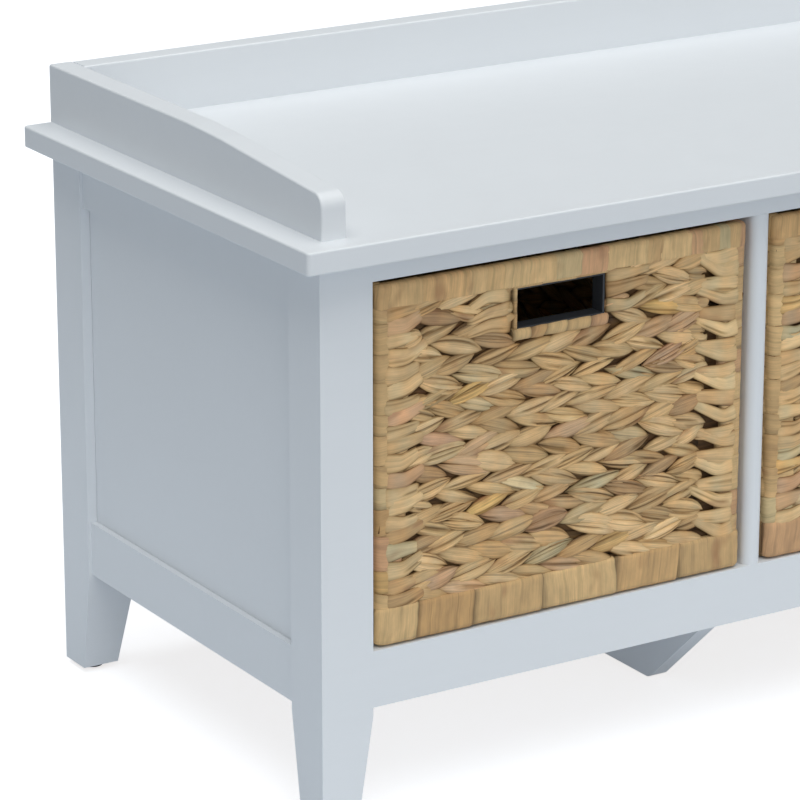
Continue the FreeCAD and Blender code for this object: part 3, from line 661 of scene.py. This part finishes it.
def wound(leaves, path, outline, start, end, widths, lift, slant, rng, seam,
          barrel=0.0, tongue=0.0, tone=1.0):
    """Winds strips of leaf round an outline that travels along a path.

    path(places) gives the origin and the two directions of the outline's plane. widths is the least and most
    width of a strip, lift how far its loose edge stands off, slant how far its seams lean along the path, and
    seam how much of its colour a strip keeps in the painted shade at its seams and its loose edge.
    barrel swells each strip's middle, tongue draws in the arms of the outline at each strip's two edges, and
    tone is how pale the leaf is; on the rim it is painted light against the shade under the seat.
    """
    points, normals, around = outline
    place = start
    while place < end - 1e-6:
        width = min(rng.uniform(*widths), end - place)
        if end - place - width < widths[0] / 2:
            width = end - place
        overlap = min(STRIP_OVERLAP, width * 0.2)
        number = max(3, round(width / STRIP_RING))
        edge = STRIP_EDGE / (width + overlap)
        inner = np.linspace(0.12, 1 - 3 * edge, number)
        shares = np.concatenate([[0.0, 0.04], inner, [1 - edge, 1.0]])
        stand = np.concatenate([[-0.5, 0.1], 0.1 + 0.75 * inner, [0.80, -0.4]]) * lift
        stand = stand + barrel * np.sin(math.pi * np.clip(shares, 0, 1))
        lean = slant * rng.uniform(0.2, 1.0) * rng.choice([-1, 1, 1])
        drift = lean * points[:, 1] + wander(rng, around, 30 * MM, 0.5 * MM)
        lane = place - overlap + shares * (width + overlap)
        places = lane[:, None] + drift[None, :]
        places = np.clip(places, start, end)
        swell = stand[:, None] + wander(rng, around, 18 * MM, 0.18 * MM)[None, :]
        swell = swell + wander(rng, lane, 12 * MM, 0.12 * MM)[:, None]
        origin, first, second = path(places)
        outline_points = points[None, :, :] + normals[None, :, :] * swell[:, :, None]
        if tongue:
            drawn = tongue * (1 - np.sin(math.pi * np.clip(shares, 0, 1)) ** 0.6)
            arms = np.clip(outline_points / points.min(axis=0) - TONGUE_START, 0, 1) / (1 - TONGUE_START)
            outline_points = outline_points * (1 - drawn[:, None, None] * arms)
        solid = origin + first * outline_points[:, :, :1] + second * outline_points[:, :, 1:]
        tint = pick(rng, BAND_COLOURS) * tone
        shown = (width + overlap) * shares - overlap
        # Painted shade: a strip is darker near its seam and at its loose edge.
        seam_shade_ramp = np.clip(seam + 0.1 + shown / SEAM_SHADE_REACH, seam, 1.0)
        seam_shade = np.where(shares > 1 - 1.5 * edge, seam, seam_shade_ramp)
        fade = 1 + wander(rng, lane, 20 * MM, 0.06)
        tints = tint[None, None, :] * (seam_shade * fade)[:, None, None] * np.ones((1, len(points), 1))
        fibres = leaf_fibres(rng, around[None, :], lane[:, None], 0.0)
        cross = np.cross(first[0, 0], second[0, 0])
        ahead = path(np.array([[place + 1 * MM]]))[0][0, 0] - path(np.array([[place]]))[0][0, 0]
        order = slice(None) if np.dot(cross, ahead) > 0 else slice(None, None, -1)
        leaves.tube(solid[:, order], tints[:, order], fibres[:, order])
        place += width


def ring_path(low, high, radius, level):
    """A path round an upright rectangle's plan with rounded corners: outwards first, then up."""
    corners = [(low.x, low.y), (high.x, low.y), (high.x, high.y), (low.x, high.y)]
    points, normals, places = rounded_outline(corners, [radius] * 4, PATH_STEP)
    total = places[-1] + np.linalg.norm(points[0] - points[-1])
    places = np.append(places, total)
    points = np.vstack([points, points[0]])
    normals = np.vstack([normals, normals[0]])

    def path(where):
        where = np.mod(where, total)
        x, y = (np.interp(where, places, points[:, axis]) for axis in (0, 1))
        out_x, out_y = (np.interp(where, places, normals[:, axis]) for axis in (0, 1))
        nought = np.zeros_like(where)
        origin = np.stack([x, y, nought + level], axis=-1)
        outwards = np.stack([out_x, out_y, nought], axis=-1)
        return origin, outwards, np.stack([nought, nought, nought + 1], axis=-1)

    return path, total


def straight_path(origin, direction, first, second):
    """A straight path from origin, with fixed directions across it."""
    origin, direction, first, second = (np.array(v, float) for v in (origin, direction, first, second))

    def path(where):
        along = origin + where[..., None] * direction
        return along, np.broadcast_to(first, along.shape), np.broadcast_to(second, along.shape)

    return path


def band_outline(depth, height, proud):
    """The section of a rim or base band: depth inwards from the face, centred on its height."""
    half = height / 2
    corners = [(-depth, -half), (proud, -half), (proud, half), (-depth, half)]
    return rounded_outline(corners, [min(BAND_ROUND, 0.4 * height)] * 4, BAND_OUTLINE_STEP)


def corner_outline(reach_front, reach_side, depth, proud):
    """The L-shaped section of a corner band; its two outer faces meet at the outline's origin."""
    corners = [
        (proud, proud), (proud, -reach_side), (-depth, -reach_side),
        (-depth, -depth), (-reach_front, -depth), (-reach_front, proud),
    ]
    return rounded_outline(corners[::-1], CORNER_RADII, CORNER_OUTLINE_STEP)


# ---------------------------------------- strands that run into the bands

# How far out, how wide and how thick a tail is, each against the share of its length.
TAIL_OUT = ((0, 0.15, 0.4, 0.65, 0.84, 1), (-3.4 * MM, -1.3 * MM, -0.6 * MM, 0.0 * MM, -0.1 * MM, -2.0 * MM))
TAIL_WIDTH = ((0, 0.12, 0.4, 0.65, 1), (0.4, 0.85, 1, 1.18, 1.5))
TAIL_THICKNESS = ((0, 0.2, 0.6, 1), (1.6 * MM, 2.8 * MM, 1.5 * MM, 1.2 * MM))
TAIL_RINGS = 22
TAIL_COLUMNS = 16
TAIL_KNEE = 0.6
TAIL_TONE = 0.94
SMOOTHINGS = 3
# The tails at a row's two ends: where each starts, bends and ends, in millimetres from the wall's edge and
# above the row's top, middle or foot, and how wide it is.
ROW_TAILS = (
    ("end", ((45, "top", -3.5), (23, "top", -6.5), (3.5, "top", -6)), 10),
    ("end", ((47, "middle", 8), (19, "foot", 5), (3.5, "foot", 5.5)), 10.5),
    ("start", ((36, "top", -3), (20, "top", -5.5), (3.5, "top", -5.5)), 10),
    ("start", ((40, "middle", 2), (22, "foot", 6), (3.5, "foot", 5)), 10.5),
)
ROW_TAIL_STRAY = 1.3 * MM
# How much of the stray the start, the bend and the end of a row's tail have, along and up.
ROW_TAIL_FREEDOM = ((1, 1), (1, 0.8), (0.2, 1))


def leaf_tail(leaves, face, points, width, rng):
    """A strand that leaves the plait, runs to a band and turns level on it, along three (u, v) points."""
    start, knee, end = (np.array(point) for point in points)
    shares = np.linspace(0, 1, TAIL_RINGS)
    first = start + (knee - start) * np.clip(shares / TAIL_KNEE, 0, 1)[:, None]
    path = first + (end - knee) * np.clip((shares - TAIL_KNEE) / (1 - TAIL_KNEE), 0, 1)[:, None]
    for _ in range(SMOOTHINGS):
        path[1:-1] = (path[:-2] + 2 * path[1:-1] + path[2:]) / 4
    centre = np.column_stack([path, np.interp(shares, *TAIL_OUT)])
    width = width * np.interp(shares, *TAIL_WIDTH)
    thickness = np.interp(shares, *TAIL_THICKNESS)
    tint = TAIL_TONE * pick(rng, BAND_COLOURS)
    strand(leaves, face, centre, width, thickness, tint, rng, TAIL_COLUMNS, rng.integers(0, 3))


def row_ends(leaves, face, width, top, foot, rng):
    """The strands that run from a row of plait into the corner bands: two at its start and two at its end."""
    levels = {"top": top, "middle": (top + foot) / 2, "foot": foot}
    for side, route, breadth in ROW_TAILS:
        points = np.array([
            (width - reach * MM if side == "end" else reach * MM, levels[level] + rise * MM)
            for reach, level, rise in route])
        points = points + rng.normal(0, ROW_TAIL_STRAY, size=(3, 2)) * ROW_TAIL_FREEDOM
        leaf_tail(leaves, face, points, breadth * MM * rng.uniform(0.85, 1.12), rng)


# ---------------------------------------- one basket

PLAIT_ROWS = 10
FLOOR_ROWS = 15
# The least and most width of a strip of each band.
RIM_STRIPS = (9 * MM, 26 * MM)
BASE_STRIPS = (28 * MM, 90 * MM)
CORNER_STRIPS = (15 * MM, 27 * MM)
LIP_STRIPS = (8 * MM, 22 * MM)
HOLE_STRIPS = (8 * MM, 17 * MM)
# How pale the rim and the base are beside the other bands; the rim's paleness is painted light against the
# shade under the seat.
RIM_PAINTED_LIGHT = 1.14
BASE_TONE = 0.93
# How far each band stands proud of the basket's face.
BAND_PROUD = 0.5 * MM
CORNER_PROUD = -0.4 * MM
LIP_PROUD = 0.4 * MM
HOLE_PROUD = -0.8 * MM
# The rim band is this much less tall than its solid. The base band is clear of the shelf and laps the plait.
RIM_PLAY = 1 * MM
BASE_LIFT = 1.2 * MM
BASE_OVERLAP = 3.0 * MM
# The plait runs in under the rim and the corner bands, and at its end it stops short of one, for dark gaps.
RIM_TUCK = 3 * MM
TUCK = 5 * MM
END_GAP = 9 * MM
FLOOR_TUCK = 3 * MM
# The corner bands run in under the rim and base bands.
CORNER_TUCK = 3 * MM
HOLE_EDGE = 2.6 * MM
LIP_HEIGHT = 7.5 * MM
LIP_TOP = 0.4 * MM
HOLE_FOOT = 8 * MM
# How far below the hand hole's top the leaves lie that end at its sides, and how they run up to it.
HOLE_LEAVES = (4 * MM, 13 * MM, 23 * MM)
HOLE_LEAF_WIDTH = 8 * MM
HOLE_LEAF_ROUTE = ((40 * MM, 4 * MM), (19 * MM, 0), (1 * MM, 0))
HOLE_LEAF_STRAY = 1.2 * MM
HOLE_LEAF_FREEDOM = ((1, 1), (1, 1), (0.2, 1))
CORE_THICKNESS = 1.0 * MM
CORE_ROUND = 0.4 * MM
CORE_STEP = 12 * MM


def basket(body, seed, leaf, band_leaf, gap_shade_finish):
    """Builds one basket's plaited walls, bands and hand hole round its CAD wire."""
    rng = np.random.default_rng(seed)
    rim_low, rim_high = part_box(f"{body}_rim")
    base_low, base_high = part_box(f"{body}_base")
    front_low, front_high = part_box(f"{body}_front")
    floor_low, floor_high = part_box(f"{body}_floor")
    hole_low, hole_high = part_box(f"{body}_hand_hole")
    depth = front_high.y - front_low.y
    band = front_low.x - rim_low.x
    bottom, top = base_high.z, rim_low.z
    low, high = rim_low, rim_high

    faces = {
        "front": (Face((low.x, low.y, 0), (1, 0, 0), (0, 0, 1), depth), high.x - low.x),
        "right": (Face((high.x, low.y, 0), (0, 1, 0), (0, 0, 1), depth), high.y - low.y),
        "back": (Face((high.x, high.y, 0), (-1, 0, 0), (0, 0, 1), depth), high.x - low.x),
        "left": (Face((low.x, high.y, 0), (0, -1, 0), (0, 0, 1), depth), high.y - low.y),
    }
    made = []
    boundaries = {}
    for side, (face, width) in faces.items():
        span = (band - TUCK, width - band - END_GAP)
        hole = None
        if side == "front":
            hole = (hole_low.x - low.x + 0.5 * MM, hole_high.x - low.x + 0.7 * MM, hole_low.z - HOLE_FOOT)
        piece, edges = plaited_wall(
            f"{body}_{side}_plait", face, span, bottom, top + RIM_TUCK, PLAIT_ROWS, depth, rng, leaf, hole)
        boundaries[side] = edges
        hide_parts(f"{body}_front" if side == "front" else f"{body}_sides")
        made.append(piece)

    made.append(floor_mat(body, floor_low, floor_high, rng, leaf))
    made.append(rim_band(body, rim_low, rim_high, depth, rng, band_leaf))
    made.append(base_band(body, base_low, base_high, depth, rng, band_leaf))
    made.append(corner_bands(body, faces, boundaries, bottom, top, band, depth, rng, band_leaf))
    made.append(hole_wraps(body, faces["front"][0], low, hole_low, hole_high, depth, rng, band_leaf))
    floor_level = (floor_low.z + floor_high.z) / 2
    levels = (bottom, top, floor_level)
    made.append(gap_shade_core(body, low, high, levels, depth, hole_low, hole_high, gap_shade_finish))
    for piece in made:
        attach(piece, body)


def floor_mat(body, low, high, rng, material):
    """The basket's floor: rows of the same plait, laid flat from side to side."""
    depth = high.z - low.z
    face = Face((low.x, low.y, high.z), (1, 0, 0), (0, 1, 0), depth)
    width, length = high.x - low.x, high.y - low.y
    piece, _ = plaited_wall(
        f"{body}_floor_plait", face, (-FLOOR_TUCK, width + FLOOR_TUCK), 0, length, FLOOR_ROWS, depth, rng,
        material, meshes=FLOOR_MESHES, ragged=0)
    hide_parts(f"{body}_floor")
    return piece


def rim_band(body, low, high, depth, rng, material):
    """Narrow strips wound round the rim."""
    leaves = LeafMesh()
    path, total = ring_path(low, high, CORNER_ROUND, (low.z + high.z) / 2)
    outline = band_outline(depth, high.z - low.z - RIM_PLAY, BAND_PROUD)
    # The rim is painted paler, as painted light against the shade under the seat.
    wound(leaves, path, outline, 0, total, RIM_STRIPS, 0.3 * MM, 0.12, rng, 0.95, tone=RIM_PAINTED_LIGHT)
    piece = leaves.piece(f"{body}_rim_band", material)
    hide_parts(f"{body}_rim")
    return piece


def base_band(body, low, high, depth, rng, material):
    """Wide strips wound round the base, with painted shade in the seams between them."""
    leaves = LeafMesh()
    foot = low.z + BASE_LIFT
    head = high.z + BASE_OVERLAP
    path, total = ring_path(low, high, CORNER_ROUND, (foot + head) / 2)
    outline = band_outline(depth, head - foot, BAND_PROUD)
    wound(leaves, path, outline, 0, total, BASE_STRIPS, 0.8 * MM, 0.16, rng, 0.42, tone=BASE_TONE)
    piece = leaves.piece(f"{body}_base_band", material)
    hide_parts(f"{body}_base")
    return piece


def corner_bands(body, faces, boundaries, bottom, top, band, depth, rng, material):
    """Broad leaves wound round each upright corner, and the strands that run from the plait into them."""
    leaves = LeafMesh()
    for side, (face, width) in faces.items():
        right, up, outwards = face.axes
        corner = face.origin + right * width
        place = bottom - CORNER_TUCK
        while place < top + CORNER_TUCK - 1 * MM:
            tall = rng.uniform(*CORNER_STRIPS)
            outline = corner_outline(
                band - rng.uniform(0, 4) * MM, band + rng.uniform(-3, 6) * MM, depth, CORNER_PROUD)
            path = straight_path(corner, up, right, outwards)
            wound(leaves, path, outline, place, min(place + tall, top + CORNER_TUCK), (tall, tall),
                  0.35 * MM, 0.18, rng, 0.84, tongue=rng.uniform(0.0, 0.08))
            place += tall
        edges = boundaries[side]
        for row_top, row_foot in zip(edges[:-1], edges[1:]):
            row_ends(leaves, face, width, row_top, row_foot, rng)
    piece = leaves.piece(f"{body}_corner_bands", material)
    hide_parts(f"{body}_corners")
    return piece


def hole_wraps(body, face, low, hole_low, hole_high, depth, rng, material):
    """The knobbly lip under the hand hole, thin leaf over its left and upper edges, and leaves beside it."""
    leaves = LeafMesh()
    right, up, outwards = (1, 0, 0), (0, 0, 1), (0, -1, 0)
    front = low.y
    left = hole_low.x - HOLE_EDGE
    length = hole_high.x - hole_low.x + 2 * HOLE_EDGE
    lip_top = hole_low.z + LIP_TOP
    lip_path = straight_path((left, front, lip_top - LIP_HEIGHT / 2), right, outwards, up)
    wound(leaves, lip_path, band_outline(depth, LIP_HEIGHT, LIP_PROUD), 0, length, LIP_STRIPS,
          0.6 * MM, 0.6, rng, 0.55, barrel=0.3 * MM)
    side_path = straight_path((hole_low.x + HOLE_EDGE / 4, front, hole_low.z - 1 * MM), up, outwards, right)
    wound(leaves, side_path, band_outline(depth, HOLE_EDGE, HOLE_PROUD), 0, hole_high.z - hole_low.z + 3 * MM,
          HOLE_STRIPS, 0.3 * MM, 0.15, rng, 0.7)
    head_path = straight_path((left, front, hole_high.z + 0.9 * MM), right, outwards, up)
    wound(leaves, head_path, band_outline(depth, HOLE_EDGE, 0.0), 0, length, RIM_STRIPS,
          0.3 * MM, 0.1, rng, 0.86)
    for edge, away in ((left - low.x, -1), (hole_high.x - low.x, 1)):
        for drop in HOLE_LEAVES:
            points = np.array([
                (edge + away * reach, hole_high.z - drop + away * rise) for reach, rise in HOLE_LEAF_ROUTE])
            points = points + rng.normal(0, HOLE_LEAF_STRAY, size=(3, 2)) * HOLE_LEAF_FREEDOM
            leaf_tail(leaves, face, points, HOLE_LEAF_WIDTH * rng.uniform(0.85, 1.15), rng)
    piece = leaves.piece(f"{body}_hole_wraps", material)
    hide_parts(f"{body}_front")
    return piece


def gap_shade_core(body, low, high, levels, depth, hole_low, hole_high, material):
    """A thin board inside the walls and floor, dark as painted shade, seen only through the plait's gaps."""
    leaves = LeafMesh()
    bottom, top, floor_level = levels
    up = np.array([0, 0, 1.0])
    left, front = low.x + depth / 2, low.y + depth / 2
    right, rear = high.x - depth / 2, high.y - depth / 2
    lip_bottom = hole_low.z - 6 * MM
    walls = (
        ((left, front), (right, front), bottom, lip_bottom),
        ((left, front), (hole_low.x - 3 * MM, front), lip_bottom, top),
        ((hole_high.x + 3 * MM, front), (right, front), lip_bottom, top),
        ((right, front), (right, rear), bottom, top),
        ((right, rear), (left, rear), bottom, top),
        ((left, rear), (left, front), bottom, top),
    )
    for start, end, foot, head in walls:
        start, end = np.array([*start, foot]), np.array([*end, foot])
        along = (end - start) / np.linalg.norm(end - start)
        section = (-CORE_THICKNESS / 2, CORE_THICKNESS / 2, 0, head - foot)
        core_board(leaves, start, end, np.cross(along, up), up, section)
    middle = (low.y + high.y) / 2
    start = np.array([low.x + TUCK, middle, floor_level])
    end = np.array([high.x - TUCK, middle, floor_level])
    reach = (high.y - low.y) / 2 - TUCK
    section = (-reach, reach, -CORE_THICKNESS / 2, CORE_THICKNESS / 2)
    core_board(leaves, start, end, np.array([0, 1.0, 0]), up, section)
    piece = leaves.piece(f"{body}_gap_shade_core", material)
    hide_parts(f"{body}_sides", f"{body}_front", f"{body}_floor")
    return piece


def core_board(leaves, start, end, across, up, section):
    """A board from start to end. section is its least and most across and up."""
    left, right, foot, head = section
    corners = [(left, foot), (right, foot), (right, head), (left, head)]
    points, _, _ = rounded_outline(corners, [CORE_ROUND] * 4, CORE_STEP)
    rings = [start, (start + end) / 2, end]
    solid = np.array([ring + across * points[:, :1] + up * points[:, 1:] for ring in rings])
    if np.dot(np.cross(across, up), end - start) < 0:
        solid = solid[:, ::-1]
    leaves.tube(solid, np.ones(3), np.zeros_like(solid))


# ---------------------------------------- the bench's own nodes

EDGE_ROUND = 0.7 * MM
SHARP_ANGLE = math.radians(50)


def finish_cad_nodes():
    """Gives every CAD node its finish, and rounds the sawn edges of the painted pieces."""
    finishes = {
        "white_paint": paint_material(),
        "raw_wood": wood_material(),
        "screw_steel": steel_material(),
        "coated_wire": wire_material(),
        "black_plastic": plastic_material(),
    }
    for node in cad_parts.values():
        for holder in node.material_slots:
            finish = finishes.get(holder.material.name)
            if finish is None:
                continue
            holder.link = "OBJECT"
            holder.material = finish
            if finish is finishes["white_paint"]:
                soften_edges(node)


def soften_edges(node):
    """A small round on each sharp edge, as sanding and paint leave it."""
    bevel = node.modifiers.new("sanded_edges", "BEVEL")
    bevel.width = EDGE_ROUND
    bevel.segments = 2
    bevel.limit_method = "ANGLE"
    bevel.angle_limit = SHARP_ANGLE
    bevel.harden_normals = True


# ---------------------------------------- floor, light and camera

SKY_COLOUR = linear(235, 246, 255)
SKY_STRENGTH = 0.28
FLOOR_REACH = 30.0
FLOOR_COLOUR = (0.90, 1.0, 1.12)
# How much light the floor throws back near the bench and far from it, and where the two meet.
FLOOR_ALBEDO = (0.62, 0.14)
FLOOR_FALLOFF = (1.0, 2.2)
# The floor's own glow in what it lights, and where the camera sees it.
FLOOR_GLOW = (0.12, 0.71)
FLOOR_GLOW_COLOUR = (1.0, 0.95, 0.90)
LAMP_COLOUR = (1.0, 0.985, 0.955)
# Direction towards each light, the angle of sky that it covers in degrees, and its strength.
TOP_LIGHT = ((0.0, -0.25, 1.0), 70, 2.15)
FRONT_LIGHT = ((-0.30, -1.0, 0.20), 60, 0.66)


def studio():
    """A pale floor out of sight on all sides, a soft sky, and broad soft lights above and in front."""
    sky()
    floor_mesh = bpy.data.meshes.new("studio_floor")
    corners = [(x * FLOOR_REACH, y * FLOOR_REACH, 0) for x, y in ((-1, -1), (1, -1), (1, 1), (-1, 1))]
    floor_mesh.from_pydata(corners, [], [(0, 1, 2, 3)])
    floor = bpy.data.objects.new("studio_floor", floor_mesh)
    bpy.context.scene.collection.objects.link(floor)
    floor_mesh.materials.append(floor_material())
    soft_sun("top_light", *TOP_LIGHT)
    soft_sun("front_light", *FRONT_LIGHT)


def sky():
    """A dim, faintly blue sky that lights the bench, and white where it is seen."""
    world = bpy.data.worlds.new("studio")
    bpy.context.scene.world = world
    world.use_nodes = True
    tree = world.node_tree
    glow = tree.nodes["Background"]
    glow.inputs["Color"].default_value = (*SKY_COLOUR, 1)
    glow.inputs["Strength"].default_value = SKY_STRENGTH
    seen = tree.nodes.new("ShaderNodeBackground")
    seen.inputs["Color"].default_value = (1, 1, 1, 1)
    seen.inputs["Strength"].default_value = 1.0
    rays = tree.nodes.new("ShaderNodeLightPath")
    choice = tree.nodes.new("ShaderNodeMixShader")
    tree.links.new(rays.outputs["Is Camera Ray"], choice.inputs[0])
    tree.links.new(glow.outputs[0], choice.inputs[1])
    tree.links.new(seen.outputs[0], choice.inputs[2])
    tree.links.new(choice.outputs[0], tree.nodes["World Output"].inputs["Surface"])


def floor_material():
    """White where it is seen. It throws back less light far off, so the bench's ends are lighter low down."""
    shader = Shader("pale_floor")
    shader.set(Roughness=0.9, Specular_IOR_Level=0.0, Emission_Color=(*FLOOR_GLOW_COLOUR, 1))
    seen = shader.node("ShaderNodeLightPath").outputs["Is Camera Ray"]
    distance = shader.tree.nodes.new("ShaderNodeVectorMath")
    distance.operation = "LENGTH"
    shader.link(shader.place(), distance.inputs[0])
    albedo = shader.spread(distance.outputs["Value"], *FLOOR_FALLOFF, *FLOOR_ALBEDO)
    albedo = shader.math("MAXIMUM", albedo, shader.math("MULTIPLY", seen, FLOOR_ALBEDO[0]))
    shader.link(shader.shaded(FLOOR_COLOUR, albedo), shader.surface.inputs["Base Color"])
    shader.link(shader.spread(seen, 0, 1, *FLOOR_GLOW), shader.surface.inputs["Emission Strength"])
    return shader.material


def soft_sun(name, towards, angle, strength):
    """A distant light that covers an angle of the sky, in degrees, in the direction towards it."""
    data = bpy.data.lights.new(name, "SUN")
    data.angle = math.radians(angle)
    data.energy = strength
    data.color = LAMP_COLOUR
    lamp = bpy.data.objects.new(name, data)
    lamp.rotation_euler = Vector(towards).to_track_quat("Z", "Y").to_euler()
    bpy.context.scene.collection.objects.link(lamp)


def camera():
    """A long lens from the front left, a little above the seat, close in on the left basket."""
    data = bpy.data.cameras.new("camera")
    data.lens = 178.24
    data.sensor_width = 36
    data.clip_start = 0.1
    data.clip_end = 100
    made = bpy.data.objects.new("camera", data)
    made.location = (-1.8114, -2.3294, 1.1234)
    made.rotation_euler = (math.radians(90 - 17.903), 0, math.radians(-31.978))
    bpy.context.scene.collection.objects.link(made)
    bpy.context.scene.camera = made


leaf = leaf_material("plaited_leaf", 1500.0, 0.4 * MM, 0.9)
band_leaf = leaf_material("wound_leaf", 1000.0, 0.18 * MM, 0.5)
gap_shade_finish = gap_shade_material()
finish_cad_nodes()
for number, body in enumerate(BASKETS):
    basket(body, FIRST_SEED + number, leaf, band_leaf, gap_shade_finish)
studio()
camera()
bpy.context.scene.view_settings.view_transform = "Standard"
